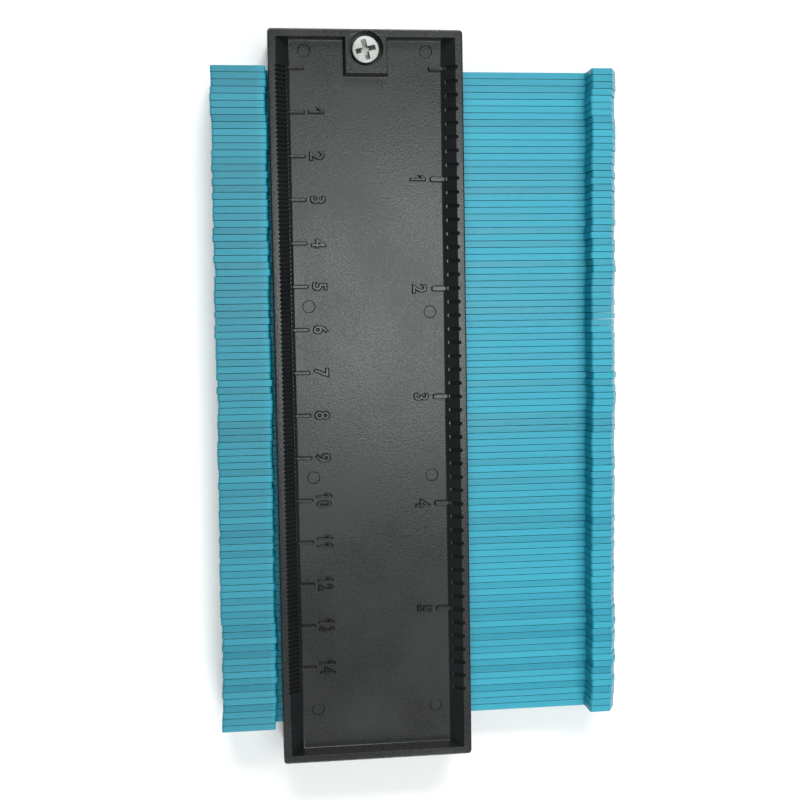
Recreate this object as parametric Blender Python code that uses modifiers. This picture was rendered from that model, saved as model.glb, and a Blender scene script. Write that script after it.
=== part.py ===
"""Contour gauge: a stack of thin sliding blades held between two moulded covers.

+X runs along the blades towards their tapered ends, +Y along the frame towards
the zero of its rulers, and +Z is up. The gauge lies on the rim of its back cover.
"""
import math
import random

import bmesh
import bpy
from mathutils import Matrix, Vector

MM = 0.001

# Blades: flat plates with a tall head at each end of a low neck
CAPTURE_LENGTH = 152.4 * MM
MOST_GROUPS = 50
BLADE_THICKNESS = 1.45 * MM
BLADE_GAP = 0.1375 * MM
BLADE_JOIN = 0.1 * MM
HEAD_HEIGHT = 15.0 * MM
NECK_HEIGHT = 3.8 * MM
BUTT_LENGTH = 12.5 * MM
TIP_LENGTH = 4.85 * MM
TAPER_LENGTH = 2.0 * MM
TAPER_DROP = 4.0 * MM
BLADE_TRAVEL = 31.2 * MM
HEAD_CORNER = 0.35 * MM
NECK_FILLET = 0.4 * MM

# How the blades were last left, measured along +X
REST_CLEARANCE = 0.45 * MM
REST_LEAN = 0.9 * MM
REST_SCATTER = 0.22 * MM
REST_MEMORY = 0.55
REST_SEED = 12
PUSHED_BLADE = 45
PUSHED_BY = 0.5 * MM

# Covers: two equal mouldings, the second turned over about X
COVER_WIDTH = 44.8 * MM
COVER_CORNER = 0.8 * MM
END_BLOCK = 8.1 * MM
STACK_CLEARANCE = 0.2 * MM
NECK_CLEARANCE = 0.15 * MM
PARTING_GAP = 0.3 * MM
WALL = 3.35 * MM
RIM_RISE = 2.6 * MM
RIM_WIDTH = 1.77 * MM
SLOPE_RUN = 3.05 * MM
SCREW_END_DRAFT = 0.25 * MM
FAR_END_DRAFT = 0.95 * MM
MOUTH_MARGIN = 0.1 * MM

# Friction strips, each in a groove of its cover
STRIP_WIDTH = 12.0 * MM
STRIP_THICKNESS = 1.1 * MM
STRIP_CLEARANCE = 0.1 * MM
STRIP_SEAT_GAP = 0.15 * MM
STRIP_SIDE_GAP = 0.3 * MM

# Screws, one from each side at opposite ends
SCREW_INSET = 4.4 * MM
SCREW_HEAD_RADIUS = 3.15 * MM
SCREW_HEAD_HEIGHT = 2.0 * MM
SCREW_HEAD_ROUND = 1.1 * MM
SCREW_RADIUS = 1.45 * MM
SCREW_LENGTH = 9.0 * MM
SCREW_POINT = 1.2 * MM
SEAT_GAP = 0.3 * MM
HEAD_CLEARANCE = 0.85 * MM
HOLE_CLEARANCE = 0.25 * MM
PILOT_CLEARANCE = 0.06 * MM
PILOT_OVERRUN = 0.6 * MM
COUNTERBORE_DEPTH = 3.2 * MM
BOSS_SIDE_WALL = 0.7 * MM
BOSS_FRONT_WALL = 1.55 * MM

# Pegs that line the covers up, at one end of each, with sockets at the other
PEG_SPREAD = 30.0 * MM
PEG_RADIUS = 1.5 * MM
PEG_LENGTH = 1.5 * MM
PEG_CLEARANCE = 0.1 * MM

# Cutters run past the faces they open by this much
OVERCUT = 1.0 * MM
ROUND_SIDES = 24
HEAD_ROUND_STEPS = 3
COVER_CORNER_STEPS = 3
SMOOTH_BELOW = math.radians(30)

# Sizes that follow from those above, heights counted from the parting plane
BLADE_PITCH = BLADE_THICKNESS + BLADE_GAP
BLADE_COUNT = round(CAPTURE_LENGTH / BLADE_PITCH) + 1
BLADES_PER_GROUP = math.ceil(BLADE_COUNT / MOST_GROUPS)
STACK_LENGTH = (BLADE_COUNT - 1) * BLADE_PITCH + BLADE_THICKNESS
SLOT_LENGTH = STACK_LENGTH + 2 * STACK_CLEARANCE
COVER_LENGTH = SLOT_LENGTH + 2 * END_BLOCK
NECK_LENGTH = COVER_WIDTH + BLADE_TRAVEL
SLOT_TOP = NECK_HEIGHT / 2 + NECK_CLEARANCE
FLOOR_LEVEL = SLOT_TOP + WALL
RIM_TOP = FLOOR_LEVEL + RIM_RISE
SCREW_PLACE = COVER_LENGTH / 2 - SCREW_INSET
COUNTERBORE_RADIUS = SCREW_HEAD_RADIUS + HEAD_CLEARANCE
COUNTERBORE_FLOOR = RIM_TOP - COUNTERBORE_DEPTH
SCREW_SEAT = COUNTERBORE_FLOOR + SEAT_GAP
PILOT_TOP = SCREW_LENGTH - SCREW_SEAT + PILOT_OVERRUN
STRIP_BASE = NECK_HEIGHT / 2 + STRIP_CLEARANCE
GROOVE_TOP = STRIP_BASE + STRIP_THICKNESS + STRIP_SEAT_GAP


def clear_scene():
    """Remove whatever the scene holds."""
    for item in list(bpy.data.objects):
        bpy.data.objects.remove(item, do_unlink=True)


def make_collection(name):
    """Make a collection under the scene's own."""
    collection = bpy.data.collections.new(name)
    bpy.context.scene.collection.children.link(collection)
    return collection


def make_material(name, colour, roughness, metallic=0.0):
    """Make a plain Principled material."""
    material = bpy.data.materials.new(name)
    material.use_nodes = True
    shader = material.node_tree.nodes["Principled BSDF"]
    shader.inputs["Base Color"].default_value = (*colour, 1.0)
    shader.inputs["Roughness"].default_value = roughness
    shader.inputs["Metallic"].default_value = metallic
    material.diffuse_color = (*colour, 1.0)
    return material


def add_object(name, data, collection):
    """Put new data in the scene as an object."""
    item = bpy.data.objects.new(name, data)
    collection.objects.link(item)
    return item


def add_cutter(name, shape, collection):
    """Turn a bmesh into a cutter that is drawn as wire and never rendered."""
    mesh = bpy.data.meshes.new(name)
    shape.to_mesh(mesh)
    shape.free()
    cutter = add_object(name, mesh, collection)
    cutter.display_type = "WIRE"
    cutter.hide_render = True
    return cutter


def box(low, high):
    """Give a bmesh box between two corners."""
    shape = bmesh.new()
    bmesh.ops.create_cube(shape, size=1.0)
    middle = (Vector(low) + Vector(high)) / 2
    size = Vector(high) - Vector(low)
    bmesh.ops.scale(shape, vec=size, verts=shape.verts)
    bmesh.ops.translate(shape, vec=middle, verts=shape.verts)
    return shape


def cylinder(radius, low, high, x, y):
    """Give a bmesh cylinder that stands along Z."""
    shape = bmesh.new()
    bmesh.ops.create_cone(
        shape, cap_ends=True, segments=ROUND_SIDES, radius1=radius, radius2=radius, depth=high - low
    )
    bmesh.ops.translate(shape, vec=(x, y, (low + high) / 2), verts=shape.verts)
    return shape


def rounded_outline(corners, steps):
    """Replace each sharp corner (x, y, radius) of an outline by an arc of that radius."""
    points = []
    for place, (x, y, radius) in enumerate(corners):
        corner = Vector((x, y))
        if radius == 0:
            points.append(corner)
            continue
        before = (Vector(corners[place - 1][:2]) - corner).normalized()
        after = (Vector(corners[(place + 1) % len(corners)][:2]) - corner).normalized()
        half_angle = before.angle(after) / 2
        centre = corner + (before + after).normalized() * radius / math.sin(half_angle)
        first = corner + before * radius / math.tan(half_angle) - centre
        last = corner + after * radius / math.tan(half_angle) - centre
        turn = math.atan2(first.x * last.y - first.y * last.x, first.dot(last))
        for step in range(steps + 1):
            points.append(centre + Matrix.Rotation(turn * step / steps, 2) @ first)
    return points


def outline_mesh(name, points, thickness, collection):
    """Extrude a flat outline, half its thickness to each side of the XY plane."""
    curve = bpy.data.curves.new(name, "CURVE")
    curve.dimensions = "2D"
    curve.fill_mode = "BOTH"
    curve.extrude = thickness / 2
    spline = curve.splines.new("POLY")
    spline.points.add(len(points) - 1)
    for knot, point in zip(spline.points, points):
        knot.co = (point.x, point.y, 0.0, 1.0)
    spline.use_cyclic_u = True
    guide = add_object(name, curve, collection)
    mesh = evaluated_mesh(guide)
    bpy.data.objects.remove(guide)
    shape = bmesh.new()
    shape.from_mesh(mesh)
    bmesh.ops.remove_doubles(shape, verts=shape.verts, dist=0.000001)
    shape.to_mesh(mesh)
    shape.free()
    return mesh


def evaluated_mesh(item):
    """Give an object's mesh with its modifiers applied."""
    bpy.context.view_layer.update()
    depsgraph = bpy.context.evaluated_depsgraph_get()
    return bpy.data.meshes.new_from_object(item.evaluated_get(depsgraph))


def combine(target, other, operation):
    """Add a Boolean to an object."""
    modifier = target.modifiers.new(other.name, "BOOLEAN")
    modifier.operation = operation
    modifier.solver = "EXACT"
    modifier.object = other


def rest_offsets():
    """How far each blade stands from the one pushed furthest, never more than zero."""
    chance = random.Random(REST_SEED)
    drift = 0.0
    offsets = []
    for index in range(BLADE_COUNT):
        drift = REST_MEMORY * drift + chance.uniform(-REST_SCATTER, REST_SCATTER)
        lean = REST_LEAN * (0.5 - index / (BLADE_COUNT - 1))
        pushed = PUSHED_BY if index == PUSHED_BLADE else 0.0
        offsets.append(lean + drift + pushed)
    furthest = max(offsets)
    return [offset - furthest for offset in offsets]


def blade_mesh(thickness, x, y, scratch):
    """A plate with one blade's outline, its neck centred on x and its +Y face at y."""
    neck_end = NECK_LENGTH / 2
    tip_start = neck_end + TIP_LENGTH
    upper = [
        (-neck_end - BUTT_LENGTH, HEAD_HEIGHT / 2, HEAD_CORNER),
        (-neck_end, HEAD_HEIGHT / 2, HEAD_CORNER),
        (-neck_end, NECK_HEIGHT / 2, NECK_FILLET),
        (neck_end, NECK_HEIGHT / 2, NECK_FILLET),
        (neck_end, HEAD_HEIGHT / 2, HEAD_CORNER),
        (tip_start, HEAD_HEIGHT / 2, 0.0),
        (tip_start + TAPER_LENGTH, HEAD_HEIGHT / 2 - TAPER_DROP, HEAD_CORNER),
    ]
    lower = [(along, -height, radius) for along, height, radius in reversed(upper)]
    outline = rounded_outline(upper + lower, steps=1)
    mesh = outline_mesh("blade", outline, thickness, scratch)
    upright = Matrix.Rotation(math.pi / 2, 4, "X")
    mesh.transform(Matrix.Translation((x, y - thickness / 2, 0.0)) @ upright)
    return mesh


def add_blade_group(name, members, offsets, parts, scratch):
    """Neighbouring blades joined into one solid, each where it was left.

    The origin is midway through the group, at the middle of the first neck.
    """
    depth = (len(members) - 1) * BLADE_PITCH + BLADE_THICKNESS
    neighbours = bpy.data.collections.new("neighbours")
    for place, member in enumerate(members):
        thickness = BLADE_THICKNESS if member == members[-1] else BLADE_PITCH + BLADE_JOIN
        x = offsets[member] - offsets[members[0]]
        mesh = blade_mesh(thickness, x, depth / 2 - place * BLADE_PITCH, scratch)
        if place == 0:
            group = add_object(name, mesh, parts)
        else:
            add_object("neighbour", mesh, neighbours)
    if neighbours.objects:
        union = group.modifiers.new("neighbours", "BOOLEAN")
        union.operand_type = "COLLECTION"
        union.collection = neighbours
        union.operation = "UNION"
        union.solver = "EXACT"
        group.data = evaluated_mesh(group)
        group.modifiers.remove(union)
    for plate in list(neighbours.objects):
        bpy.data.objects.remove(plate)
    bpy.data.collections.remove(neighbours)
    group.data.name = name
    return group


def add_blades(parts, scratch, frame_place, offsets, plastic):
    """The stack of blades, in groups of neighbours that slide together."""
    home = frame_place.x + NECK_LENGTH / 2 - COVER_WIDTH / 2 - REST_CLEARANCE
    for number, start in enumerate(range(0, BLADE_COUNT, BLADES_PER_GROUP), start=1):
        members = range(start, min(start + BLADES_PER_GROUP, BLADE_COUNT))
        group = add_blade_group(f"blades_{number:02d}", members, offsets, parts, scratch)
        centre = (members[0] + members[-1]) / 2
        y = STACK_LENGTH / 2 - BLADE_THICKNESS / 2 - centre * BLADE_PITCH
        group.location = (home + offsets[start], y, frame_place.z)
        group.data.materials.clear()
        group.data.materials.append(plastic)


def tray_cutter(scratch):
    """The shallow tray above the ruler floor, less the block that holds the screw."""
    rim_inside = Vector((COVER_WIDTH / 2 - RIM_WIDTH, COVER_LENGTH / 2 - RIM_WIDTH))
    shape = box((-1, -1, FLOOR_LEVEL), (1, 1, RIM_TOP + OVERCUT))
    for vert in shape.verts:
        below_rim = (RIM_TOP - vert.co.z) / RIM_RISE
        draft = SCREW_END_DRAFT if vert.co.y > 0 else FAR_END_DRAFT
        vert.co.x *= rim_inside.x - SLOPE_RUN * below_rim
        vert.co.y *= rim_inside.y - draft * below_rim
    tray = add_cutter("tray", shape, scratch)
    boss_half = COUNTERBORE_RADIUS + BOSS_SIDE_WALL
    boss_face = SCREW_PLACE - COUNTERBORE_RADIUS - BOSS_FRONT_WALL
    boss_low = (-boss_half, boss_face, FLOOR_LEVEL - OVERCUT)
    boss_high = (boss_half, COVER_LENGTH / 2 + OVERCUT, RIM_TOP + 2 * OVERCUT)
    boss = add_cutter("screw_boss", box(boss_low, boss_high), scratch)
    combine(tray, boss, "DIFFERENCE")
    return tray


def slot_cutter(scratch):
    """The space for the blades' necks, flared where the heads come up to the cover."""
    side = COVER_WIDTH / 2
    flare = NECK_FILLET + MOUTH_MARGIN
    profile = [
        (-side - OVERCUT, 0.0, 0.0),
        (side + OVERCUT, 0.0, 0.0),
        (side + OVERCUT, SLOT_TOP + flare + OVERCUT, 0.0),
        (side - flare, SLOT_TOP, 0.0),
        (-side + flare, SLOT_TOP, 0.0),
        (-side - OVERCUT, SLOT_TOP + flare + OVERCUT, 0.0),
    ]
    mesh = outline_mesh("slot", rounded_outline(profile, steps=1), SLOT_LENGTH, scratch)
    mesh.transform(Matrix.Rotation(math.pi / 2, 4, "X"))
    slot = add_object("slot", mesh, scratch)
    slot.display_type = "WIRE"
    slot.hide_render = True
    return slot


def cover_mesh(scratch):
    """One cover: ruler tray above, blade slot below, a block across each end.

    Its counterbored screw hole is at +Y, and the pilot hole for the other
    cover's screw is at -Y.
    """
    side = COVER_WIDTH / 2
    end = COVER_LENGTH / 2
    corners = [(-side, -end, COVER_CORNER), (side, -end, COVER_CORNER)]
    corners += [(side, end, COVER_CORNER), (-side, end, COVER_CORNER)]
    height = RIM_TOP - PARTING_GAP / 2
    blank = outline_mesh("cover", rounded_outline(corners, COVER_CORNER_STEPS), height, scratch)
    blank.transform(Matrix.Translation((0, 0, PARTING_GAP / 2 + height / 2)))
    cover = add_object("cover", blank, scratch)

    groove = box((-STRIP_WIDTH / 2, -SLOT_LENGTH / 2, 0), (STRIP_WIDTH / 2, SLOT_LENGTH / 2, GROOVE_TOP))
    bore = cylinder(COUNTERBORE_RADIUS, COUNTERBORE_FLOOR, RIM_TOP + OVERCUT, 0, SCREW_PLACE)
    hole = cylinder(SCREW_RADIUS + HOLE_CLEARANCE, -OVERCUT, RIM_TOP, 0, SCREW_PLACE)
    pilot = cylinder(SCREW_RADIUS + PILOT_CLEARANCE, -OVERCUT, PILOT_TOP, 0, -SCREW_PLACE)
    cuts = [tray_cutter(scratch), slot_cutter(scratch)]
    for name, shape in (("groove", groove), ("counterbore", bore), ("hole", hole), ("pilot", pilot)):
        cuts.append(add_cutter(name, shape, scratch))
    peg_place = (COVER_LENGTH + SLOT_LENGTH) / 4
    socket_depth = PEG_LENGTH + PARTING_GAP
    for x in (-PEG_SPREAD / 2, PEG_SPREAD / 2):
        socket = cylinder(PEG_RADIUS + PEG_CLEARANCE, -OVERCUT, socket_depth, x, -peg_place)
        cuts.append(add_cutter("socket", socket, scratch))
        peg = cylinder(PEG_RADIUS, -PEG_LENGTH, SLOT_TOP, x, peg_place)
        combine(cover, add_cutter("peg", peg, scratch), "UNION")
    for cutter in cuts:
        combine(cover, cutter, "DIFFERENCE")
    mesh = evaluated_mesh(cover)
    for item in list(scratch.objects):
        bpy.data.objects.remove(item)
    return mesh


def add_covers(parts, scratch, frame_place, plastic):
    """Both covers, from one moulding."""
    mesh = cover_mesh(scratch)
    mesh.materials.clear()
    mesh.materials.append(plastic)
    mesh.shade_smooth()
    mesh.set_sharp_from_angle(angle=SMOOTH_BELOW)
    for name, turn in (("front_cover", 0.0), ("back_cover", math.pi)):
        cover = add_object(name, mesh, parts)
        cover.location = frame_place
        cover.rotation_euler.x = turn


def add_strips(parts, frame_place, foam):
    """The foam strips that press on the necks from both sides."""
    half_length = SLOT_LENGTH / 2 - STRIP_SIDE_GAP
    half_width = STRIP_WIDTH / 2 - STRIP_SIDE_GAP
    top = STRIP_BASE + STRIP_THICKNESS
    for name, turn in (("front_strip", 0.0), ("back_strip", math.pi)):
        shape = box((-half_width, -half_length, STRIP_BASE), (half_width, half_length, top))
        mesh = bpy.data.meshes.new(name)
        shape.to_mesh(mesh)
        shape.free()
        mesh.materials.append(foam)
        strip = add_object(name, mesh, parts)
        strip.location = frame_place
        strip.rotation_euler.x = turn


def screw_profile():
    """Half outline of a pan-head screw, from the top of the head down to the point."""
    points = [(0.0, SCREW_HEAD_HEIGHT)]
    for step in range(HEAD_ROUND_STEPS + 1):
        angle = math.pi / 2 * step / HEAD_ROUND_STEPS
        x = SCREW_HEAD_RADIUS - SCREW_HEAD_ROUND * (1 - math.sin(angle))
        points.append((x, SCREW_HEAD_HEIGHT - SCREW_HEAD_ROUND * (1 - math.cos(angle))))
    points.append((SCREW_HEAD_RADIUS, 0.0))
    points.append((SCREW_RADIUS, 0.0))
    points.append((SCREW_RADIUS, -SCREW_LENGTH + SCREW_POINT))
    points.append((0.0, -SCREW_LENGTH))
    return points


def add_screws(parts, frame_place, steel):
    """The front screw at the zero end and the back screw at the other."""
    for name, turn in (("front_screw", 0.0), ("back_screw", math.pi)):
        mesh = bpy.data.meshes.new(name)
        profile = bmesh.new()
        verts = [profile.verts.new((x, 0.0, z)) for x, z in screw_profile()]
        for start, stop in zip(verts, verts[1:]):
            profile.edges.new((start, stop))
        profile.to_mesh(mesh)
        profile.free()
        mesh.materials.append(steel)
        screw = add_object(name, mesh, parts)
        turned = screw.modifiers.new("turned", "SCREW")
        turned.axis = "Z"
        turned.steps = ROUND_SIDES
        turned.render_steps = ROUND_SIDES
        turned.use_merge_vertices = True
        turned.merge_threshold = 0.00001
        upright = Matrix.Translation((0, SCREW_PLACE, SCREW_SEAT))
        screw.matrix_world = Matrix.Translation(frame_place) @ Matrix.Rotation(turn, 4, "X") @ upright


def main():
    """Model the gauge."""
    clear_scene()
    parts = make_collection("contour_gauge")
    scratch = make_collection("cutters")
    offsets = rest_offsets()

    # The frame stands off the middle so that the whole gauge is centred on X
    butt_end = -COVER_WIDTH / 2 - REST_CLEARANCE + min(offsets) - BUTT_LENGTH
    tip_end = -COVER_WIDTH / 2 - REST_CLEARANCE + NECK_LENGTH + TIP_LENGTH + TAPER_LENGTH
    frame_place = Vector((-(butt_end + tip_end) / 2, 0.0, RIM_TOP))

    black = make_material("abs_black", (0.028, 0.029, 0.031), 0.45)
    teal = make_material("abs_teal", (0.065, 0.33, 0.47), 0.38)
    zinc = make_material("zinc_steel", (0.72, 0.73, 0.71), 0.25, 1.0)
    foam = make_material("foam_rubber", (0.02, 0.02, 0.02), 0.9)
    add_covers(parts, scratch, frame_place, black)
    add_strips(parts, frame_place, foam)
    add_screws(parts, frame_place, zinc)
    add_blades(parts, scratch, frame_place, offsets, teal)


main()
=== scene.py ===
# %% [markdown]
# # Dressing a contour gauge
#
# A contour gauge copies an outline. Ninety-seven thin plastic blades are pushed against a
# moulding or a pipe, each slides as far as it has to, and a strip of foam in the frame keeps
# them where they stopped. The frame is two equal black mouldings with a ruler on the outside.
#
# The construction already exists as a fixed frame of plain solids, in metres. This lesson
# opens it, measures it, and puts a finer piece over each solid: the same place and the same
# size, with rounded edges, graduations, numbers and real plastics.

import math

import bmesh
import bpy
from mathutils import Euler, Matrix, Vector
from mathutils.geometry import delaunay_2d_cdt


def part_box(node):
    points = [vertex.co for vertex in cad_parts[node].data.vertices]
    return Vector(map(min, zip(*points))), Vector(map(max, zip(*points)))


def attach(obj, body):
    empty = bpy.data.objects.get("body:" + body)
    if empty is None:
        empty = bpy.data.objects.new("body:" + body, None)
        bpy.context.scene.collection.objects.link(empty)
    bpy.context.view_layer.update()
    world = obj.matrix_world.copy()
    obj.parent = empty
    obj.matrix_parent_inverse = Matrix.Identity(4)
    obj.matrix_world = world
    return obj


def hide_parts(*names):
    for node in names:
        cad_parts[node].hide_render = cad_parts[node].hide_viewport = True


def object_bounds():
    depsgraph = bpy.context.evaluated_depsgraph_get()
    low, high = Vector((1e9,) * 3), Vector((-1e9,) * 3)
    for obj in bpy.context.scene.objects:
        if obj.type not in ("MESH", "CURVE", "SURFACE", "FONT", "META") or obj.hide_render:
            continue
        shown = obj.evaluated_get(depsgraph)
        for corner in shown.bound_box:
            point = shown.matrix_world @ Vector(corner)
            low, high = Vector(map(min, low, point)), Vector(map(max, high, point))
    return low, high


MM = 0.001
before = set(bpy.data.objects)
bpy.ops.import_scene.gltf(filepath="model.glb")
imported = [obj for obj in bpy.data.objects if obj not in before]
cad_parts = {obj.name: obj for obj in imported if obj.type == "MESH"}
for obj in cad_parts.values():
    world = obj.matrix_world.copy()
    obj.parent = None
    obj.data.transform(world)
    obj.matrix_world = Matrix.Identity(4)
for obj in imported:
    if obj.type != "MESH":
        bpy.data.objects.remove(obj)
cad_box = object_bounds()


def in_mm(values):
    """Lengths in millimetres, rounded for printing."""
    return [round(value / MM, 2) for value in values]


print("the frame's box, mm:", in_mm(cad_box[0]), in_mm(cad_box[1]))

# %% [markdown]
# ## Measuring the frame
#
# Every place in this file comes from the frame, so that nothing has to be fitted afterwards.
# The cover's box gives the middle of the ruler. Its floor is the largest level surface that
# faces up, and the corners of that surface are the foot of the ruler's slopes. The width of
# the rim is the one size here that is given.

# %% Measure the front cover
RIM_WIDTH = 1.77 * MM
LEVEL_NORMAL = 0.999


def levels_facing_up(mesh):
    """The faces that look straight up, in groups of one height each."""
    levels = {}
    for face in mesh.polygons:
        if face.normal.z >= LEVEL_NORMAL:
            levels.setdefault(round(face.center.z / MM, 2), []).append(face)
    return levels


cover_low, cover_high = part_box("front_cover")
middle_x = (cover_low.x + cover_high.x) / 2
middle_z = (cover_low.z + cover_high.z) / 2
parting_z = (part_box("back_cover")[1].z + cover_low.z) / 2
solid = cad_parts["front_cover"].data
outside = [faces for height, faces in levels_facing_up(solid).items() if height * MM > middle_z]
floor_faces = max(outside, key=lambda faces: sum(face.area for face in faces))
corners = [solid.vertices[index].co for face in floor_faces for index in face.vertices]
floor_low = Vector(map(min, *corners))
floor_high = Vector(map(max, *corners))
floor_z = floor_low.z
rim_z = cover_high.z
foot = floor_high.x - middle_x
slope_run = (cover_high.x - RIM_WIDTH) - floor_high.x
slope_climb = (rim_z - floor_z) / slope_run
print("ruler floor at", in_mm([floor_z]), "corners", in_mm(floor_low), in_mm(floor_high))
print("slope: run", in_mm([slope_run]), "rises", round(math.degrees(math.atan(slope_climb)), 1), "degrees")

# %% [markdown]
# ## Helpers for nodes and colours
#
# Colours are easiest to pick as sRGB hex values, but shaders work on linear light, so one
# function converts them. Shader trees and geometry trees are built by the same small
# function: it adds a node, sets its settings, and fills its inputs. Each input is given as a
# plain value, as a socket to link, or as a node whose first output is linked.

# %% Node and colour helpers


def linear(code):
    """An sRGB hex colour as linear red, green, blue and alpha."""
    channels = [int(code[start:start + 2], 16) / 255 for start in (1, 3, 5)]
    return tuple(c / 12.92 if c <= 0.04045 else ((c + 0.055) / 1.055) ** 2.4 for c in channels) + (1.0,)


def add_node(tree, kind, inputs=None, **settings):
    """Add a node with its settings and its inputs."""
    node = tree.nodes.new(kind)
    for name, value in settings.items():
        setattr(node, name, value)
    for name, value in (inputs or {}).items():
        if isinstance(value, bpy.types.Node):
            value = value.outputs[0]
        if isinstance(value, bpy.types.NodeSocket):
            tree.links.new(value, node.inputs[name])
        else:
            node.inputs[name].default_value = value
    return node


def new_material(name):
    """An empty material: its tree, and the Object coordinates that its patterns read."""
    material = bpy.data.materials.new(name)
    material.use_nodes = True
    tree = material.node_tree
    tree.nodes.clear()
    place = add_node(tree, "ShaderNodeTexCoord").outputs["Object"]
    return material, tree, place


def close_material(material, inputs):
    """Give a material its shader, and print how many nodes it has."""
    tree = material.node_tree
    shader = add_node(tree, "ShaderNodeBsdfPrincipled", inputs)
    add_node(tree, "ShaderNodeOutputMaterial", {"Surface": shader})
    print(material.name, "has", len(tree.nodes), "nodes")
    return material


print("mid grey in linear light:", round(linear("#808080")[0], 3))

# %% [markdown]
# ## Black ABS, moulded in a spark-eroded tool
#
# The covers are black ABS. The mould was spark eroded, which leaves the plastic with a fine
# dull grain: light spreads in it, so that flat faces look mid grey under a lamp while slopes
# that face away stay nearly black. The real grain is about 0.05 mm. It is drawn at 0.45 mm,
# because anything finer falls below a pixel, and it tilts the surface enough to speckle the
# reflection. A second, slow pattern shifts the black and the gloss a little, as the plastic's
# flow does. Hands and tables rub the grain smooth where they touch it, so the rim is
# glossier, and so are the tops of the raised marks half a millimetre above the ruler's floor.
# A noise's Scale is one over the size of its features.

# %% Moulded black ABS
ABS_IOR = 1.54
GRAIN_SIZE = 0.45 * MM
GRAIN_HEIGHT = 0.03 * MM
FLOW_SIZE = 18 * MM
FLOW_DULLNESS = 0.06
RIM_GLOSS = 0.03
MARK_GLOSS = 0.07
MARK_RISE = 0.5 * MM


def black_abs():
    """Black ABS from a spark-eroded mould."""
    material, tree, place = new_material("black_abs_spark_moulded")
    grain = add_node(tree, "ShaderNodeTexNoise", {"Vector": place, "Scale": 1 / GRAIN_SIZE, "Detail": 3.0})
    flow = add_node(tree, "ShaderNodeTexNoise", {"Vector": place, "Scale": 1 / FLOW_SIZE, "Detail": 2.0})
    shade = add_node(tree, "ShaderNodeMapRange", {"Value": flow, "From Min": 0.35, "From Max": 0.65})
    blacks = {"Factor": shade, 6: linear("#131415"), 7: linear("#191a1b")}
    colour = add_node(tree, "ShaderNodeMix", blacks, data_type="RGBA")
    spread = {"From Min": 0.3, "From Max": 0.7, "To Min": 0.21, "To Max": 0.31}
    grainy = add_node(tree, "ShaderNodeMapRange", {"Value": grain, **spread})
    dulled = {0: shade, 1: FLOW_DULLNESS, 2: grainy}
    rough = add_node(tree, "ShaderNodeMath", dulled, operation="MULTIPLY_ADD")
    height = add_node(tree, "ShaderNodeSeparateXYZ", {"Vector": place}).outputs["Z"]
    above = add_node(tree, "ShaderNodeMath", {0: height, 1: parting_z}, operation="SUBTRACT")
    away = add_node(tree, "ShaderNodeMath", {0: above}, operation="ABSOLUTE")
    touched = [(rim_z, 0.1 * MM, 0.4 * MM, RIM_GLOSS)]
    touched.append((floor_z + MARK_RISE, 0.05 * MM, 0.15 * MM, MARK_GLOSS))
    for top, whole_within, none_beyond, gloss in touched:
        past = add_node(tree, "ShaderNodeMath", {0: away, 1: top - parting_z}, operation="SUBTRACT")
        near = add_node(tree, "ShaderNodeMath", {0: past}, operation="ABSOLUTE")
        fade = {"Value": near, "From Min": whole_within, "From Max": none_beyond}
        rubbed = add_node(tree, "ShaderNodeMapRange", {**fade, "To Min": gloss, "To Max": 0.0})
        rough = add_node(tree, "ShaderNodeMath", {0: rough, 1: rubbed}, operation="SUBTRACT")
    bump = add_node(tree, "ShaderNodeBump", {"Height": grain, "Strength": 1.0, "Distance": GRAIN_HEIGHT})
    finish = {"Base Color": colour.outputs[2], "Roughness": rough, "IOR": ABS_IOR, "Normal": bump}
    return close_material(material, finish)


black = black_abs()

# %% [markdown]
# ## Teal ABS, moulded and slightly glossy
#
# The blades are the same plastic with a teal colour in it. No two blades are quite alike:
# each one left the mould with its own skin, so a number stored on each blade picks its shade
# between two teals and makes it glossier or duller. Along its length the colour is drawn out
# in faint streaks, where the pigment followed the plastic into a narrow mould. On the butt
# heads, beyond the end of the frame, the teal is multiplied to a little darker and greyer.

# %% Moulded teal ABS
STREAK_SIZE = 0.9 * MM
STREAK_STRETCH = (0.06, 1.0, 1.0)
STREAK_SHARE = 0.5
RIPPLE_SIZE = 0.5 * MM
RIPPLE_HEIGHT = 0.02 * MM
OWN_DULLNESS = 0.16
BUTT_FADE = 3 * MM
BUTT_TINT = (0.85, 0.74, 0.73, 1.0)


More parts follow.
